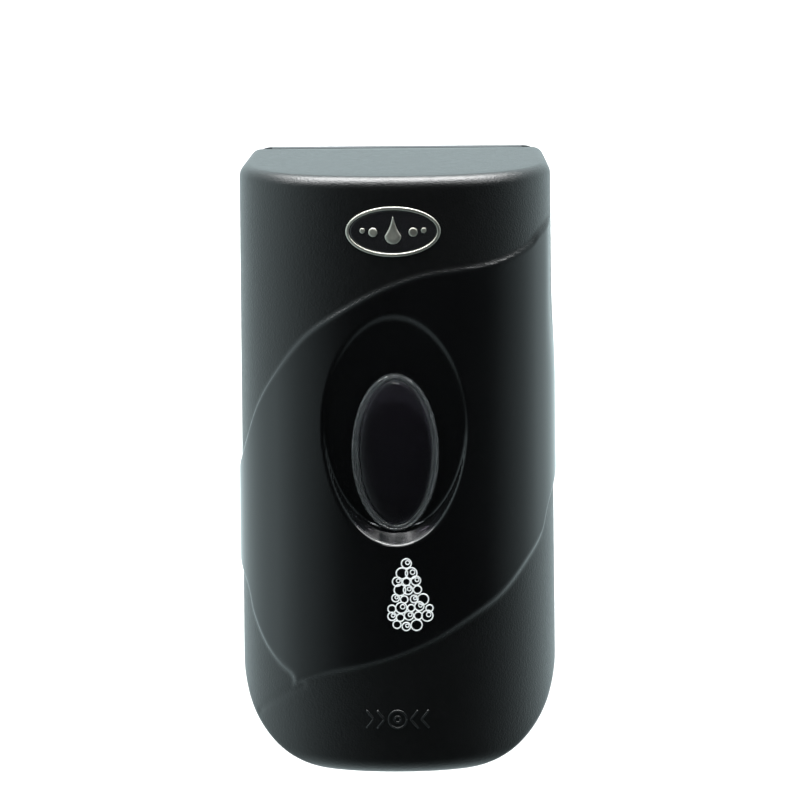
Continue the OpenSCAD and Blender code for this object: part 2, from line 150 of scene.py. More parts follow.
UPPER = [(-61, 4), (-53, 27), (-46, 40), (-34, 56.5), (-20, 67.5), (-5, 76), (10, 81.3),
         (24, 83.2), (34, 84.4), (43, 86.6), (51, 90), (55.5, 94)]
LOWER = [(61, -15), (57, -28), (50, -37.5), (40, -48), (28, -55.5), (14, -63.5), (0, -69.5),
         (-14, -74), (-26, -77.6), (-36, -82.5), (-42, -86.5)]
TAIL = [(-36, -82.5), (-42, -86.5), (-47, -91), (-51, -95), (-55, -100)]
INNER = [(-41, -80.5), (-46, -77), (-52, -70.5), (-57, -61), (-60.5, -50)]


def on_skin(points):
    return [(float(unroll(x)), z) for x, z in points]


upper = on_skin(UPPER)
lower = on_skin(LOWER)
inner = on_skin(INNER)
left_tip = [(-100, -14), (-112, -26), (-110, -36), (-98, -43)]
right_tip = [(82, 99), (99, 95), (110, 78), (116, 50), (114, 22), (104, 0)]
loop = upper + right_tip + lower + [(lower[-1][0] + 1.2, -84.6)] + inner + left_tip[::-1]
LEAF = spline([loop[-1]] + loop + loop[:2])
TAIL_LINE = spline([on_skin(TAIL)[0]] + on_skin(TAIL) + [on_skin(TAIL)[-1]])


def distance_to(u, z, line, closed):
    """Least distance to a line, and whether each point lies inside it."""
    best = np.full(u.shape, 1e9)
    inside = np.zeros(u.shape, bool)
    nxt = np.roll(line, -1, 0) if closed else line[1:]
    for (ax, az), (bx, bz) in zip(line, nxt):
        ex, ez = bx - ax, bz - az
        length = ex * ex + ez * ez
        if length < 1e-9:
            continue
        t = np.clip(((u - ax) * ex + (z - az) * ez) / length, 0, 1)
        best = np.minimum(best, np.hypot(u - ax - ex * t, z - az - ez * t))
        if closed and abs(ez) > 1e-9:
            cross = (az > z) != (bz > z)
            inside ^= cross & (u < ax + ex * (z - az) / ez)
    return best, inside


def leaf_mask(u, z):
    """0 on the pebbled skin, 1 on the polished leaf, with a soft step between."""
    dist, inside = distance_to(u, z, LEAF, True)
    soft = 1.6 + 1.9 * smooth((20 - z) / 60)
    fade = 1 - smooth((u - 66) / 16) * smooth((z - 30) / 40)
    return np.where(inside, smooth(dist / soft), 0.0) * fade


def bed_at(x, z):
    """Depth of the scooped oval round the window, steep at its lower edge."""
    rho = np.sqrt((x / DISH_RX) ** 2 + ((z - DISH_Z) / DISH_RZ) ** 2)
    start = 0.88 - 0.1 * smooth((z - 20) / 45)
    wall = np.clip((rho - start) / (1 - start), 0, 3) ** (1.15 + 0.5 * smooth((z - 5) / 40))
    return DISH_D + 1.1 * smooth((z - 45) / 28) + 9.0 * wall


def skin_at(x, z):
    """Depth of the finished skin on the front of the cover."""
    x, z = np.asarray(x, float), np.asarray(z, float)
    d = front_at(x, z) + LEAF_RISE * leaf_mask(unroll(x), z)
    return smin(d, bed_at(x, z), 0.8)


# ---- Mesh helpers ----

def new_object(name, verts, faces):
    mesh = bpy.data.meshes.new(name)
    mesh.from_pydata([tuple(v) for v in verts], [], faces)
    mesh.validate()
    mesh.update()
    bm = bmesh.new()
    bm.from_mesh(mesh)
    bmesh.ops.recalc_face_normals(bm, faces=bm.faces)
    bm.to_mesh(mesh)
    bm.free()
    obj = bpy.data.objects.new(name, mesh)
    bpy.context.scene.collection.objects.link(obj)
    mesh.shade_smooth()
    return obj


def grid_faces(rows, cols, closed=False, start=0):
    faces = []
    span = cols if closed else cols - 1
    for r in range(rows - 1):
        for c in range(span):
            a = start + r * cols + c
            b = start + r * cols + (c + 1) % cols
            faces.append((a, b, b + cols, a + cols))
    return faces


def apply_modifiers(obj):
    bpy.context.view_layer.objects.active = obj
    for o in bpy.context.selected_objects:
        o.select_set(False)
    obj.select_set(True)
    for mod in list(obj.modifiers):
        bpy.ops.object.modifier_apply(modifier=mod.name)


def bevel(obj, width):
    mod = obj.modifiers.new("edge", "BEVEL")
    mod.width = width
    mod.segments = 2
    mod.limit_method = "ANGLE"
    mod.angle_limit = math.radians(35)
    mod.harden_normals = True
    apply_modifiers(obj)


def join(objs, name):
    bpy.context.view_layer.update()
    for o in bpy.context.selected_objects:
        o.select_set(False)
    for o in objs:
        o.select_set(True)
    bpy.context.view_layer.objects.active = objs[0]
    bpy.ops.object.join()
    objs[0].name = name
    return objs[0]


# ---- Materials: every one is procedural, in object space ----

def material(name):
    mat = bpy.data.materials.new(name)
    mat.use_nodes = True
    nodes, links = mat.node_tree.nodes, mat.node_tree.links
    shader = next(n for n in nodes if n.type == "BSDF_PRINCIPLED")
    coord = nodes.new("ShaderNodeTexCoord")
    return mat, nodes, links, shader, coord


def noise(nodes, links, coord, scale, detail=3.0, rough=0.5, stretch=None):
    """A noise texture in object space; stretch scales it along x, y and z."""
    tex = nodes.new("ShaderNodeTexNoise")
    tex.inputs["Scale"].default_value = scale
    tex.inputs["Detail"].default_value = detail
    tex.inputs["Roughness"].default_value = rough
    if stretch:
        mapping = nodes.new("ShaderNodeMapping")
        mapping.inputs["Scale"].default_value = stretch
        links.new(coord.outputs["Object"], mapping.inputs["Vector"])
        links.new(mapping.outputs["Vector"], tex.inputs["Vector"])
    else:
        links.new(coord.outputs["Object"], tex.inputs["Vector"])
    return tex


def ramp_range(nodes, links, source, low, high):
    """Spreads the middle of a noise over low to high."""
    rng = nodes.new("ShaderNodeMapRange")
    rng.inputs["From Min"].default_value = 0.3
    rng.inputs["From Max"].default_value = 0.7
    rng.inputs["To Min"].default_value = low
    rng.inputs["To Max"].default_value = high
    links.new(source, rng.inputs["Value"])
    return rng.outputs["Result"]


def tint(nodes, links, source, dark, light):
    """Turns a noise into a drift between two colours."""
    ramp = nodes.new("ShaderNodeValToRGB")
    ramp.color_ramp.elements[0].position = 0.32
    ramp.color_ramp.elements[0].color = (*dark, 1)
    ramp.color_ramp.elements[1].position = 0.68
    ramp.color_ramp.elements[1].color = (*light, 1)
    links.new(source, ramp.inputs["Fac"])
    return ramp.outputs["Color"]


def bump(nodes, links, shader, height, strength, distance):
    node = nodes.new("ShaderNodeBump")
    node.inputs["Strength"].default_value = strength
    node.inputs["Distance"].default_value = distance
    links.new(height, node.inputs["Height"])
    links.new(node.outputs["Normal"], shader.inputs["Normal"])


def moulded(name, dark, light, rough=(0.35, 0.5), pebble=900, strength=0.15, coat=0.0):
    """Moulded plastic: slight colour drift, fine surface texture and uneven gloss."""
    mat, nodes, links, shader, coord = material(name)
    drift = noise(nodes, links, coord, 28, 4)
    links.new(tint(nodes, links, drift.outputs["Fac"], dark, light), shader.inputs["Base Color"])
    gloss = noise(nodes, links, coord, 160, 3)
    links.new(ramp_range(nodes, links, gloss.outputs["Fac"], *rough), shader.inputs["Roughness"])
    grain = noise(nodes, links, coord, pebble, 2)
    bump(nodes, links, shader, grain.outputs["Fac"], strength, 0.0004)
    shader.inputs["Coat Weight"].default_value = coat
    shader.inputs["Coat Roughness"].default_value = 0.1
    return mat


def metal(name, dark, light, rough=(0.18, 0.34), stretch=(1, 40, 1)):
    """Plated or brushed metal with fine drawn lines."""
    mat, nodes, links, shader, coord = material(name)
    lines = noise(nodes, links, coord, 220, 3, stretch=stretch)
    links.new(tint(nodes, links, lines.outputs["Fac"], dark, light), shader.inputs["Base Color"])
    cloud = noise(nodes, links, coord, 90, 3)
    links.new(ramp_range(nodes, links, cloud.outputs["Fac"], *rough), shader.inputs["Roughness"])
    shader.inputs["Metallic"].default_value = 1.0
    bump(nodes, links, shader, lines.outputs["Fac"], 0.12, 0.0002)
    return mat


def cover_material():
    """Black plastic: pebbled skin, polished where the leaf attribute is 1."""
    mat, nodes, links, shader, coord = material("cover_plastic")
    leaf = nodes.new("ShaderNodeAttribute")
    leaf.attribute_name = "leaf"
    drift = noise(nodes, links, coord, 22, 4)
    links.new(tint(nodes, links, drift.outputs["Fac"], (0.0022, 0.0023, 0.0025),
                   (0.0031, 0.0032, 0.0035)), shader.inputs["Base Color"])

    gloss = noise(nodes, links, coord, 420, 2)
    matte = ramp_range(nodes, links, gloss.outputs["Fac"], 0.31, 0.35)
    shiny = ramp_range(nodes, links, gloss.outputs["Fac"], 0.09, 0.13)
    mix = nodes.new("ShaderNodeMix")
    links.new(leaf.outputs["Fac"], mix.inputs["Factor"])
    links.new(matte, mix.inputs["A"])
    links.new(shiny, mix.inputs["B"])
    links.new(mix.outputs["Result"], shader.inputs["Roughness"])

    cells = nodes.new("ShaderNodeTexVoronoi")
    cells.inputs["Scale"].default_value = 1300
    cells.inputs["Randomness"].default_value = 1.0
    links.new(coord.outputs["Object"], cells.inputs["Vector"])
    fine = noise(nodes, links, coord, 2600, 2)
    grain = nodes.new("ShaderNodeMath")
    grain.operation = "ADD"
    links.new(cells.outputs["Distance"], grain.inputs[0])
    links.new(fine.outputs["Fac"], grain.inputs[1])
    keep = nodes.new("ShaderNodeMapRange")
    keep.inputs["To Min"].default_value = 1.0
    keep.inputs["To Max"].default_value = 0.04
    links.new(leaf.outputs["Fac"], keep.inputs["Value"])
    height = nodes.new("ShaderNodeMath")
    height.operation = "MULTIPLY"
    links.new(grain.outputs["Value"], height.inputs[0])
    links.new(keep.outputs["Result"], height.inputs[1])
    bump(nodes, links, shader, height.outputs["Value"], 0.35, 0.00022)
    shader.inputs["Specular IOR Level"].default_value = 0.5
    return mat


def clear_material(name, colour, rough, transmission):
    """Clear or tinted plastic with a faint haze and scuffs."""
    mat, nodes, links, shader, coord = material(name)
    haze = noise(nodes, links, coord, 60, 4)
    links.new(tint(nodes, links, haze.outputs["Fac"], [c * 0.9 for c in colour], colour),
              shader.inputs["Base Color"])
    scuff = noise(nodes, links, coord, 300, 5, 0.7)
    links.new(ramp_range(nodes, links, scuff.outputs["Fac"], *rough), shader.inputs["Roughness"])
    bump(nodes, links, shader, haze.outputs["Fac"], 0.015, 0.0002)
    shader.inputs["Transmission Weight"].default_value = transmission
    shader.inputs["IOR"].default_value = 1.49
    return mat


COVER = cover_material()
INNER_PLASTIC = moulded("inner_plastic", (0.016, 0.017, 0.019), (0.026, 0.027, 0.03),
                        (0.38, 0.52), 1100, 0.2)
FRAME_PLASTIC = moulded("frame_plastic", (0.035, 0.038, 0.043), (0.055, 0.058, 0.065),
                        (0.34, 0.48), 1000, 0.18)
PUMP_WHITE = moulded("pump_white", (0.66, 0.65, 0.61), (0.78, 0.77, 0.73),
                     (0.28, 0.42), 700, 0.1, 0.15)
ACETAL = moulded("rocker_acetal", (0.5, 0.47, 0.41), (0.62, 0.59, 0.52), (0.3, 0.42), 700, 0.12)
RUBBER = moulded("rubber_black", (0.012, 0.012, 0.012), (0.022, 0.022, 0.023),
                 (0.6, 0.8), 1500, 0.4)
SILICONE = moulded("silicone_grey", (0.2, 0.21, 0.22), (0.29, 0.3, 0.31),
                   (0.42, 0.58), 900, 0.15)
STEEL = metal("steel", (0.52, 0.53, 0.54), (0.68, 0.69, 0.7))
LOCK_METAL = metal("lock_metal", (0.5, 0.51, 0.52), (0.66, 0.67, 0.68), (0.1, 0.2), (30, 30, 1))
BADGE_SILVER = metal("badge_silver", (0.66, 0.65, 0.57), (0.78, 0.765, 0.68), (0.34, 0.46),
                     (4, 1, 60))
RING_CLEAR = clear_material("ring_clear", (0.8, 0.84, 0.86), (0.02, 0.07), 0.95)
TANK = clear_material("tank_plastic", (0.2, 0.185, 0.215), (0.22, 0.28), 0.72)


def ink_material():
    """Screen-printed white ink, slightly uneven."""
    mat, nodes, links, shader, coord = material("print_white")
    patch = noise(nodes, links, coord, 700, 4)
    links.new(tint(nodes, links, patch.outputs["Fac"], (0.66, 0.67, 0.67), (0.86, 0.87, 0.87)),
              shader.inputs["Base Color"])
    links.new(ramp_range(nodes, links, patch.outputs["Fac"], 0.4, 0.6), shader.inputs["Roughness"])
    bump(nodes, links, shader, patch.outputs["Fac"], 0.2, 0.0001)
    return mat


INK = ink_material()


def finish(obj, mat, body):
    """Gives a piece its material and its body."""
    obj.data.materials.clear()
    obj.data.materials.append(mat)
    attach(obj, body)
    return obj


# ---- Cover shell ----

SIDE_N, FRONT_N = 52, 240
COLS = 2 * SIDE_N + FRONT_N + 1
_theta = np.linspace(np.pi, 0, FRONT_N + 1)


def corner_trim(h):
    h = np.clip(h, 0, CORNER_H)
    return CORNER_W * (1 - np.sqrt(1 - ((CORNER_H - h) / CORNER_H) ** 2))


def chin_trim(h):
    h = np.clip(h, 0, CHIN_H)
    return CHIN_D * (1 - np.sqrt(1 - ((CHIN_H - h) / CHIN_H) ** 2))


def outline(z):
    """The cover's outline at height z, from the left rear edge round to the right one."""
    a, s, rear = half_w(z), side_at(z), rear_at(z)
    h = z - Z_BOTTOM
    b = depth_at(z) - s - chin_trim(h)
    c, si = np.cos(_theta), np.sin(_theta)
    x = np.sign(c) * a * np.abs(c) ** (2 / PLAN_POWER)
    d = s + b * np.abs(si) ** (2 / PLAN_POWER)
    side_d = np.linspace(rear, s, SIDE_N + 1)[:-1]
    side_x = np.full(SIDE_N, a)
    x = np.concatenate([-side_x, x, side_x])
    d = np.concatenate([side_d, d, side_d[::-1]])
    if h < CORNER_H + 3:
        limit = a - corner_trim(h)
        x = np.sign(x) * smin(np.abs(x), limit, 0.01 + 2.5 * smooth((CORNER_H + 3 - h) / 12))
    return x, d


def cover_rows():
    """(height, angle round the roof's edge) of every row; the angle is None below it."""
    rows = [(Z_BOTTOM + CORNER_H * (1 - math.sin(math.radians(a))), None)
            for a in np.linspace(90, 0, 40)]
    top_start = Z_TOP - ROOF_ROUND
    ledge = (-27.0, -13.0)                  # close rows where the oval scoop's ledge curves
    for low, high, count in ((Z_BOTTOM + CORNER_H, ledge[0], 62), (*ledge, 40),
                             (ledge[1], top_start, 134)):
        rows += [(z, None) for z in np.linspace(low, high, count)[1:]]
    rows += [(top_start, math.radians(a)) for a in np.linspace(10, 90, 9)]
    return rows


def cut_mouth(mesh):
    """Opens the floor and the lower corners behind the chin, with straight edges."""
    top = Z_BOTTOM + MOUTH_H
    bm = bmesh.new()
    bm.from_mesh(mesh)
    low = [v for v in bm.verts if v.co.z < (Z_BOTTOM + 0.1) * MM]
    bmesh.ops.remove_doubles(bm, verts=low, dist=0.02 * MM)
    for place, normal in (((MOUTH_X, 0, 0), (1, 0, 0)), ((-MOUTH_X, 0, 0), (1, 0, 0)),
                          ((0, -MOUTH_D, 0), (0, 1, 0)), ((0, 0, top), (0, 0, 1))):
        near = [f for f in bm.faces if min(v.co.z for v in f.verts) < (top + 1) * MM]
        geom = set(near)
        for f in near:
            geom.update(f.edges)
            geom.update(f.verts)
        bmesh.ops.bisect_plane(bm, geom=list(geom), plane_co=Vector(place) * MM, plane_no=normal)
    gone = []
    for f in bm.faces:
        c = f.calc_center_median() / MM
        if abs(c.x) < MOUTH_X and -c.y < MOUTH_D and c.z < top:
            gone.append(f)
    bmesh.ops.delete(bm, geom=gone, context="FACES")
    bmesh.ops.recalc_face_normals(bm, faces=bm.faces)
    bm.to_mesh(mesh)
    bm.free()


def build_cover():
    pts = []
    for z, a in cover_rows():
        if a is None:
            x, d = outline(z)
            pts.append(np.stack([x, d, np.full(COLS, z)], 1))
            continue
        # the round along the edge of the roof
        zz = Z_TOP - ROOF_ROUND * (1 - math.sin(a))
        inset = ROOF_ROUND * (1 - math.cos(a))
        s, rear = side_at(zz), rear_at(zz)
        ct, st = np.cos(_theta), np.sin(_theta)
        x = np.sign(ct) * (half_w(zz) - inset) * np.abs(ct) ** (2 / PLAN_POWER)
        d = s + (depth_at(zz) - inset - s) * np.abs(st) ** (2 / PLAN_POWER)
        side_x = np.full(SIDE_N, half_w(zz) - inset)
        side_d = np.linspace(rear, s, SIDE_N + 1)[:-1]
        x = np.concatenate([-side_x, x, side_x])
        d = np.concatenate([side_d, d, side_d[::-1]])
        pts.append(np.stack([x, d, np.full(COLS, zz)], 1))
    grid = np.array(pts)
    n_wall = len(grid)

    # unrolled coordinate of every point, for the leaf
    step = np.linalg.norm(np.diff(grid[:, :, :2], axis=1), axis=2)
    run = np.concatenate([np.zeros((n_wall, 1)), np.cumsum(step, 1)], 1)
    middle = COLS // 2
    u = run - run[:, middle:middle + 1]
    reach = unroll(np.array([63.0]))[0]
    mid_row = n_wall // 2
    col = int(np.argmin(np.abs(grid[mid_row, middle:, 0] - 63.0))) + middle
    u = u * (reach / u[mid_row, col])
    mask = leaf_mask(u, grid[:, :, 2])
    mask[grid[:, :, 2] > Z_TOP - 9] = 0
    tail, _ = distance_to(u, grid[:, :, 2], TAIL_LINE, False)
    groove = 0.35 * np.exp(-(tail / 1.3) ** 2)

    # outward normals of the smooth form
    du = np.gradient(grid, axis=1)
    dz = np.gradient(grid, axis=0)
    normal = np.cross(dz, du)
    normal /= np.maximum(np.linalg.norm(normal, axis=2, keepdims=True), 1e-9)
    if normal[n_wall // 2, middle, 1] < 0:
        normal = -normal
    grid = grid + normal * (LEAF_RISE * mask - groove)[:, :, None]

    x, d, z = grid[:, :, 0], grid[:, :, 1], grid[:, :, 2]
    front = d > 80
    grid[:, :, 1] = np.where(front, smin(d, bed_at(x, z), 0.8), d)
    rho = np.sqrt((x / DISH_RX) ** 2 + ((z - DISH_Z) / DISH_RZ) ** 2)
    mask = np.maximum(mask, np.where(front & (rho < 1), 1.0, 0.0))

    # roof: carried in from the rounded edge to the straight rear edge
    last = grid[-1]
    rear = np.stack([np.linspace(last[0, 0], last[-1, 0], COLS), np.full(COLS, REAR_TOP),
                     np.full(COLS, Z_TOP)], 1)
    roof = [last * (1 - t) + rear * t for t in np.linspace(0, 1, 14)[1:]]
    # floor: carried in from the lowest outline to the middle; the mouth is cut out later
    first = grid[0]
    middle_line = first * (0, 0.97, 1)
    floor = [middle_line * (1 - t) + first * t for t in np.linspace(0, 1, 32)[:-1]]
    grid = np.concatenate([floor, grid, roof])
    mask = np.concatenate([np.zeros((len(floor), COLS)), mask, np.zeros((len(roof), COLS))])
    rows = len(grid)

    verts = np.stack([grid[:, :, 0], -grid[:, :, 1], grid[:, :, 2]], 2).reshape(-1, 3) * MM
    faces = []
    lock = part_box("lock_barrel")
    lock_c = (lock[0] + lock[1]) / 2
    for f in grid_faces(rows, COLS):
        cx = sum(verts[i][0] for i in f) / 4 / MM
        cd = -sum(verts[i][1] for i in f) / 4 / MM
        cz = sum(verts[i][2] for i in f) / 4 / MM
        if cd > 98 and (cx / (WINDOW_RX - WINDOW_LAP)) ** 2 \
                + ((cz - WINDOW_Z) / (WINDOW_RZ - WINDOW_LAP)) ** 2 < 1:
            continue
        if cz < Z_BOTTOM + 1 and math.hypot(cx - lock_c.x / MM, cd + lock_c.y / MM) < LOCK_HOLE:
            continue
        faces.append(f)
    obj = new_object("cover_shell", verts, faces)
    attr = obj.data.attributes.new("leaf", "FLOAT", "POINT")
    attr.data.foreach_set("value", mask.reshape(-1).astype(np.float32))
    cut_mouth(obj.data)
    mod = obj.modifiers.new("wall", "SOLIDIFY")
    mod.thickness = WALL * MM
    mod.offset = -1
    mod.use_rim = True
    apply_modifiers(obj)
    return obj


def extruded(name, outline_dz, x0, x1, hole=None):
    """An outline of (d, z) in millimetres, extruded along x; hole is (d, z, r)."""
    bm = bmesh.new()
    ring = [bm.verts.new((x0 * MM, -d * MM, z * MM)) for d, z in outline_dz]
    edges = [bm.edges.new((ring[i], ring[(i + 1) % len(ring)])) for i in range(len(ring))]
    if hole:
        hd, hz, hr = hole
        circle = [bm.verts.new((x0 * MM, -(hd + hr * math.cos(t)) * MM,
                                (hz + hr * math.sin(t)) * MM))
                  for t in np.linspace(0, 2 * math.pi, 32, endpoint=False)]
        edges += [bm.edges.new((circle[i], circle[(i + 1) % 32])) for i in range(32)]
    bmesh.ops.triangle_fill(bm, use_beauty=True, edges=edges)
    out = bmesh.ops.extrude_face_region(bm, geom=list(bm.faces))
    moved = [v for v in out["geom"] if isinstance(v, bmesh.types.BMVert)]
    bmesh.ops.translate(bm, verts=moved, vec=((x1 - x0) * MM, 0, 0))
    bmesh.ops.recalc_face_normals(bm, faces=bm.faces)
    mesh = bpy.data.meshes.new(name)
    bm.to_mesh(mesh)
    bm.free()
    obj = bpy.data.objects.new(name, mesh)
    bpy.context.scene.collection.objects.link(obj)
    mesh.shade_smooth()
    bevel(obj, 0.4 * MM)
    return obj


HINGE = next(j for j in frame["joints"] if j["name"] == "cover_hinge")["pos_m"]
HINGE_D, HINGE_Z = -HINGE[1] / MM, HINGE[2] / MM
KNUCKLE = 4.2                           # radius of the lug round the pin
PIN_HOLE = 2.1
LUG_X = (52.0, 55.0)
RIB_X = (35.2, 36.8)

shell = build_cover()
lug_outline = [(HINGE_D - KNUCKLE, HINGE_Z), (HINGE_D - KNUCKLE, Z_TOP - WALL + 0.5),
               (HINGE_D + 14, Z_TOP - WALL + 0.5), (HINGE_D + KNUCKLE, HINGE_Z)]
lug_outline += [(HINGE_D + KNUCKLE * math.cos(t), HINGE_Z + KNUCKLE * math.sin(t))
                for t in np.linspace(0, -math.pi, 15)[1:-1]]
extras = []
for sign in (-1, 1):
    x0, x1 = sorted(sign * x for x in LUG_X)
    extras.append(extruded(f"cover_lug_{x0}", lug_outline, x0, x1,
                           (HINGE_D, HINGE_Z, PIN_HOLE)))
    front = float(front_at(sum(RIB_X) / 2, Z_TOP - 6)) - WALL
    x0, x1 = sorted(sign * x for x in RIB_X)
    extras.append(extruded(f"cover_rib_{x0}", [
        (34, Z_TOP - WALL + 0.3), (34, Z_TOP - WALL - 2.5), (front - 6, Z_TOP - WALL - 2.5),
        (front - 2.5, Z_TOP - 16), (front + 0.2, Z_TOP - 20), (front - 3, Z_TOP - WALL + 0.3)],
        x0, x1))
for i, obj in enumerate(extras):
    obj.name = f"cover_inner_{i}"
    finish(obj, COVER, "cover")
finish(shell, COVER, "cover")
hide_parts("front_cover")


# ---- Window ----

def oval_lathe(name, rx, rz, z0, profile, close_loop, segments=128):
    """Sweeps a profile of (inset from the oval, depth) round an upright oval."""
    verts = []
    for inset, d in profile:
        for t in np.linspace(0, 2 * math.pi, segments, endpoint=False):
            ex, ez = rx - inset, rz - inset
            verts.append((ex * math.cos(t) * MM, -d * MM, (z0 + ez * math.sin(t)) * MM))
    rows = len(profile)
    faces = grid_faces(rows, segments, True)
    if close_loop:
        for c in range(segments):
            a, b = (rows - 1) * segments + c, (rows - 1) * segments + (c + 1) % segments
            faces.append((a, b, (c + 1) % segments, c))
    return new_object(name, verts, faces)


def bead(inset0, inset1, base, rise, steps=9):
    """A rounded bead between two insets."""
    return [(inset0 + (inset1 - inset0) * (1 - math.cos(t)) / 2, base + rise * math.sin(t))
            for t in np.linspace(0, math.pi, steps)]


ring_profile = [(0.15, DISH_D - 0.9)] + bead(0.1, 1.5, DISH_D + 0.5, 1.25) \
    + bead(1.55, 2.6, DISH_D + 0.35, 0.7) + [(2.95, DISH_D + 0.1), (3.0, DISH_D - 0.9)]
ring = oval_lathe("window_bezel", WINDOW_RX, WINDOW_RZ, WINDOW_Z, ring_profile, True)
finish(ring, RING_CLEAR, "cover")
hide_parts("window_ring")


def lens():
    """A crowned oval lens with a stepped rim that sits behind the ring."""
    rx, rz = WINDOW_RX - LENS_INSET, WINDOW_RZ - LENS_INSET
    seg, rings = 128, 16
    verts = [(0, -(DISH_D + 2.3) * MM, WINDOW_Z * MM)]
    faces = []
    profile = [(k, DISH_D - 0.3 + 2.6 * math.sqrt(max(0.0, 1 - (k * 0.94) ** 2))) for k in
               np.linspace(0, 1, rings + 1)[1:]]
    profile += [(k, DISH_D - back) for k, back in ((1.0, 2.9), (1.14, 3.4), (1.14, 4.8),
                                                   (0.9, 5.0))]
    for k, d in profile:
        for t in np.linspace(0, 2 * math.pi, seg, endpoint=False):
            verts.append((rx * k * math.cos(t) * MM, -d * MM,
                          (WINDOW_Z + (rz * k) * math.sin(t)) * MM))
    for c in range(seg):
        faces.append((0, 1 + c, 1 + (c + 1) % seg))
    faces += grid_faces(len(profile), seg, True, 1)
    base = 1 + (len(profile) - 1) * seg
    verts.append((0, -(DISH_D - 5.0) * MM, WINDOW_Z * MM))
    for c in range(seg):
        faces.append((base + c, base + (c + 1) % seg, len(verts) - 1))
    return new_object("window_glass", verts, faces)


LENS = clear_material("window_clear", (0.2, 0.18, 0.225), (0.02, 0.05), 0.98)
glass = finish(lens(), LENS, "cover")
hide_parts("window_lens")

# ---- Badge: plain oval ring with a droplet ----

def conformal_lathe(name, cx, cz, rx, rz, profile, segments=96, cap_first=True):
    """Rings of (inset, height above the skin) that follow the cover's curve."""
    verts = []
    for inset, h in profile:
        t = np.linspace(0, 2 * np.pi, segments, endpoint=False)
        x, z = cx + (rx - inset) * np.cos(t), cz + (rz - inset) * np.sin(t)
        d = skin_at(x, z) + h
        verts += list(zip(x * MM, -d * MM, z * MM))
    faces = grid_faces(len(profile), segments, True)
    if cap_first:
        d = float(skin_at(cx, cz)) + profile[-1][1]
        verts.append((cx * MM, -d * MM, cz * MM))
        base = (len(profile) - 1) * segments
        for c in range(segments):
            faces.append((base + c, base + (c + 1) % segments, len(verts) - 1))
    return new_object(name, verts, faces)


ring_steps = [(0.0, -0.5), (0.0, 0.25), (0.12, 0.42), (0.3, 0.5), (1.0, 0.5), (1.2, 0.42),
              (1.3, 0.2)]
badge_ring = conformal_lathe("badge_ring", 0, BADGE_Z, BADGE_RX, BADGE_RZ,
                             ring_steps + [(1.3, -0.5)], cap_first=False)
finish(badge_ring, BADGE_SILVER, "cover")
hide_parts("badge")
face_steps = [(1.25, -0.3)] + [(1.25 + k * (BADGE_RZ - 1.5), 0.16) for k in np.linspace(0, 0.98, 8)]
badge_face = conformal_lathe("badge_face", 0, BADGE_Z, BADGE_RX, BADGE_RZ, face_steps)
BADGE_BLACK = moulded("badge_black", (0.008, 0.008, 0.009), (0.012, 0.012, 0.013),
                      (0.12, 0.2), 500, 0.03, 0.3)
finish(badge_face, BADGE_BLACK, "cover")


def raised_patch(name, outline_xz, height, base):
    """A flat-topped shape with a chamfered rim that follows the skin."""
    pts = np.array(outline_xz, float)
    centre = pts.mean(0)
    verts = []
    for scale, h in ((1.0, base), (1.0, height * 0.6), (0.93, height), (0.6, height),
                     (0.3, height)):
        q = centre + (pts - centre) * scale
        d = skin_at(q[:, 0], q[:, 1]) + h
        verts += list(zip(q[:, 0] * MM, -d * MM, q[:, 1] * MM))
    n = len(pts)
    faces = grid_faces(5, n, True)
    verts.append((centre[0] * MM, -(float(skin_at(*centre)) + height) * MM, centre[1] * MM))
    faces += [(4 * n + c, 4 * n + (c + 1) % n, len(verts) - 1) for c in range(n)]
    return new_object(name, verts, faces)


def droplet(cx, cz, r, tall, n=40):
    """The outline of a drop: a circle whose top is drawn up to a point."""
    out = []
    for t in np.linspace(0, 2 * math.pi, n, endpoint=False):
        s, c = math.sin(t), math.cos(t)
        up = max(c, 0.0)
        out.append((cx + r * s * (1 - 0.75 * up ** 1.3), cz + r * c + up ** 3 * (tall - r)))
    return out


marks = [raised_patch("badge_mark_0", droplet(0, BADGE_Z - 1.6, 3.1, 7.4), 0.45, 0.1)]
dots = [(-7.6, -0.2, 1.7), (7.6, -0.2, 1.7), (-11.6, 0.4, 1.0), (11.6, 0.4, 1.0)]
for i, (x, z, r) in enumerate(dots):
    circle = [(x + r * math.cos(t), BADGE_Z + z + r * math.sin(t))
              for t in np.linspace(0, 2 * math.pi, 28, endpoint=False)]
    marks.append(raised_patch(f"badge_mark_{i + 1}", circle, 0.42, 0.1))
badge_mark = join(marks, "badge_mark")
finish(badge_mark, BADGE_SILVER, "cover")

# ---- Printed heap of bubbles ----

def bubble_ring(verts, faces, cx, cz, r, w):
    """One printed ring of radius r and line width w, laid on the skin."""
    n, lift = 40, 0.1
    ts = np.linspace(0, 2 * math.pi, n, endpoint=False)
    base = len(verts)
    for k, h in ((r - w / 2, -0.05), (r - w / 2, lift), (r, lift + 0.02), (r + w / 2, lift),
                 (r + w / 2, -0.05)):
        x, z = cx + k * np.cos(ts), cz + k * np.sin(ts)
        d = skin_at(x, z) + h
        verts += list(zip(x * MM, -d * MM, z * MM))
    faces += grid_faces(5, n, True, base)


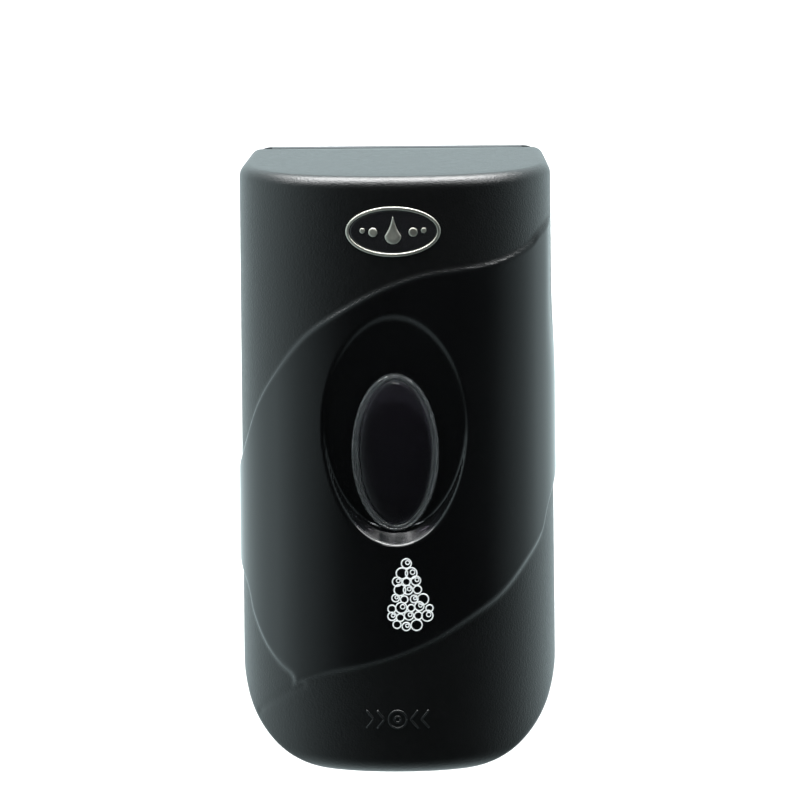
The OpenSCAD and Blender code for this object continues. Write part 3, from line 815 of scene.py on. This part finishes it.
def bubbles():
    """A heap of overlapping rings, widest a little above its foot."""
    heap_x, heap_top, pitch, row_drop = 4.2, -30.6, 3.55, 3.5
    verts, faces = [], []
    rng = np.random.default_rng(11)
    rows = [(1, 0.0), (2, 0.1), (3, -0.4), (3, 0.5), (4, 0.6), (5, 1.3), (5, 0.9), (3, -0.2)]
    for row, (count, shift) in enumerate(rows):
        for i in range(count):
            x = heap_x + shift + (i - (count - 1) / 2) * pitch + rng.uniform(-0.35, 0.35)
            z = heap_top - row * row_drop + rng.uniform(-0.5, 0.5)
            r = rng.uniform(1.35, 2.25)
            bubble_ring(verts, faces, x, z, r, 0.5)
            if (row + i) % 2 == 0:
                bubble_ring(verts, faces, x + 0.25 * r, z + 0.2 * r, r * 0.4, 0.4)
    return new_object("bubble_print", verts, faces)


finish(bubbles(), INK, "cover")

# ---- Push mark moulded into the lower front ----

def ridge(verts, faces, path, half=0.42, rise=0.32):
    """A low rounded ridge along a path of (x, z) points on the skin."""
    p = np.array(path, float)
    t = np.gradient(p, axis=0)
    t /= np.linalg.norm(t, axis=1, keepdims=True)
    side = np.stack([-t[:, 1], t[:, 0]], 1)
    base = len(verts)
    section = [(-half - 0.1, -0.15), (-half, 0.02), (-half * 0.55, rise * 0.8), (0, rise),
               (half * 0.55, rise * 0.8), (half, 0.02), (half + 0.1, -0.15)]
    for s, h in section:
        q = p + side * s
        d = skin_at(q[:, 0], q[:, 1]) + h
        verts += list(zip(q[:, 0] * MM, -d * MM, q[:, 1] * MM))
    m = len(p)
    for a in range(len(section) - 1):
        for c in range(m - 1):
            i = base + a * m + c
            faces.append((i, i + 1, i + 1 + m, i + m))
    for c in (0, m - 1):
        faces.append(tuple(base + a * m + c for a in range(len(section))))


def push_mark():
    """Two pairs of chevrons that point at a small double circle."""
    verts, faces = [], []
    zc = -93.4
    for sign in (-1, 1):
        for k in range(2):
            x = sign * (12.2 - 4.2 * k)
            tip = x - sign * 2.9
            path = [(x + (tip - x) * (1 - abs(2 * s - 1)), zc + 3.6 * (2 * s - 1))
                    for s in np.linspace(0, 1, 13)]
            ridge(verts, faces, path)
    circle = [(3.5 * math.cos(t), zc + 3.5 * math.sin(t)) for t in np.linspace(0, 2 * math.pi, 41)]
    ridge(verts, faces, circle)
    small = [(1.2 * math.cos(t), zc + 1.2 * math.sin(t)) for t in np.linspace(0, 2 * math.pi, 25)]
    ridge(verts, faces, small)
    return new_object("push_mark", verts, faces)


finish(push_mark(), COVER, "cover")

# ---- CAD nodes that stay, with their finishes ----

FINISHES = {
    "back_plate": INNER_PLASTIC, "tank_cradle": INNER_PLASTIC, "cradle_screws": STEEL,
    "hinge_pins": STEEL, "torsion_springs": STEEL, "rocker_pin": STEEL,
    "press_arms": FRAME_PLASTIC, "press_crossbar": FRAME_PLASTIC, "crossbar_screws": STEEL,
    "press_buffers": RUBBER, "window_seal": RUBBER, "lock_bush": INNER_PLASTIC,
    "lock_barrel": LOCK_METAL, "lock_tongue": STEEL, "lock_nut": STEEL, "pump_rocker": ACETAL,
    "soap_tank": TANK, "neck_gasket": SILICONE, "pump_collar": PUMP_WHITE,
    "pump_cylinder": PUMP_WHITE, "pump_spring": STEEL, "valve_ball": STEEL,
    "refill_cap": INNER_PLASTIC, "cap_seal": SILICONE, "nozzle": PUMP_WHITE,
    "piston_stem": PUMP_WHITE, "piston_cup": SILICONE, "stem_ring": PUMP_WHITE,
    "foam_screens": PUMP_WHITE,
}
for name, mat in FINISHES.items():
    node = frame["nodes"][name]
    if node.material_slots:
        for slot in node.material_slots:
            slot.material = mat
    else:
        node.data.materials.append(mat)

# ---- Stage, lights and camera ----

def backdrop():
    """A pale floor that curves up behind the object."""
    y_back, radius, floor_z = 0.9, 0.5, Z_BOTTOM * MM - 0.8
    path = [(-2.6, floor_z), (-1.2, floor_z), (0.0, floor_z), (y_back - radius, floor_z)]
    path += [(y_back - radius + radius * math.sin(t), floor_z + radius * (1 - math.cos(t)))
             for t in np.linspace(0.1, math.pi / 2, 14)]
    path += [(y_back, 1.6), (y_back, 3.0)]
    verts = [(x, y, z) for x in np.linspace(-2.6, 2.6, 7) for y, z in path]
    obj = new_object("studio_floor", verts, grid_faces(7, len(path)))
    mat, nodes, links, shader, coord = material("studio_white")
    mottle = noise(nodes, links, coord, 3, 2)
    links.new(tint(nodes, links, mottle.outputs["Fac"], (0.86, 0.86, 0.865), (0.9, 0.9, 0.9)),
              shader.inputs["Base Color"])
    shader.inputs["Roughness"].default_value = 0.75
    obj.data.materials.append(mat)
    obj.visible_glossy = False


def softbox(name, place, aim, size, power):
    """A rectangular light at one place, aimed at another; size in metres, power in watts."""
    light = bpy.data.lights.new(name, "AREA")
    light.shape = "RECTANGLE"
    light.size, light.size_y = size
    light.energy = power
    obj = bpy.data.objects.new(name, light)
    obj.location = place
    obj.rotation_euler = (Vector(aim) - Vector(place)).to_track_quat("-Z", "Y").to_euler()
    bpy.context.scene.collection.objects.link(obj)


backdrop()
softbox("top_light", (0.0, 0.1, 1.3), (0, -0.02, 0), (1.4, 0.8), 60)
softbox("brow_light", (-0.1, -0.5, 1.0), (0, -0.1, 0.06), (0.8, 0.08), 4)
softbox("upper_left", (-0.75, -0.35, 0.95), (0, -0.08, 0.03), (0.45, 0.45), 5)
softbox("upper_right", (0.75, -0.35, 0.95), (0, -0.08, 0.03), (0.45, 0.45), 5)
softbox("back_light", (0.0, 0.15, 1.9), (0, 0.9, 0.2), (2.4, 0.6), 30)


def surround():
    """Light tent: bright all round, dark where the camera's side is open."""
    world = bpy.data.worlds.new("studio")
    bpy.context.scene.world = world
    world.use_nodes = True
    nodes, links = world.node_tree.nodes, world.node_tree.links
    coord = nodes.new("ShaderNodeTexCoord")
    facing = nodes.new("ShaderNodeVectorMath")
    facing.operation = "DOT_PRODUCT"
    facing.inputs[1].default_value = (0.26, -0.966, 0)
    links.new(coord.outputs["Generated"], facing.inputs[0])
    spread = nodes.new("ShaderNodeMapRange")
    spread.inputs["From Min"].default_value = -1.0
    links.new(facing.outputs["Value"], spread.inputs["Value"])
    ramp = nodes.new("ShaderNodeValToRGB")
    stops = [(0.44, 1.0), (0.57, 0.68), (0.64, 0.5), (0.76, 0.27), (0.857, 0.08), (0.9, 0.03),
             (0.98, 0.006)]
    elements = ramp.color_ramp.elements
    while len(elements) < len(stops):
        elements.new(0.5)
    for element, (place, level) in zip(elements, stops):
        element.position = place
        element.color = (level * 0.8, level * 0.97, level, 1)
    links.new(spread.outputs["Result"], ramp.inputs["Fac"])
    seen = nodes.new("ShaderNodeLightPath")
    pale = nodes.new("ShaderNodeMix")
    pale.data_type = "RGBA"
    pale.inputs[7].default_value = (0.76, 0.77, 0.77, 1)
    links.new(seen.outputs["Is Camera Ray"], pale.inputs[0])
    links.new(ramp.outputs["Color"], pale.inputs[6])
    back = nodes["Background"]
    links.new(pale.outputs[2], back.inputs["Color"])
    back.inputs["Strength"].default_value = 1.3


surround()
bpy.context.scene.view_settings.view_transform = "Standard"

# the camera's lens, place and tilt were worked out from the cover's outline
camera = bpy.data.cameras.new("camera")
camera.lens = 86.85
camera.sensor_width = 36
camera.shift_y = -0.139
cam_obj = bpy.data.objects.new("camera", camera)
cam_obj.location = (0.015, -0.822, Z_TOP * MM + 0.096)
turn = Euler((math.radians(90 - 10.9), 0, math.radians(1.0)), "XYZ").to_matrix()
roll = Euler((0, 0, math.radians(-0.6)), "XYZ").to_matrix()
cam_obj.rotation_euler = (turn @ roll).to_euler()
bpy.context.scene.collection.objects.link(cam_obj)
bpy.context.scene.camera = cam_obj
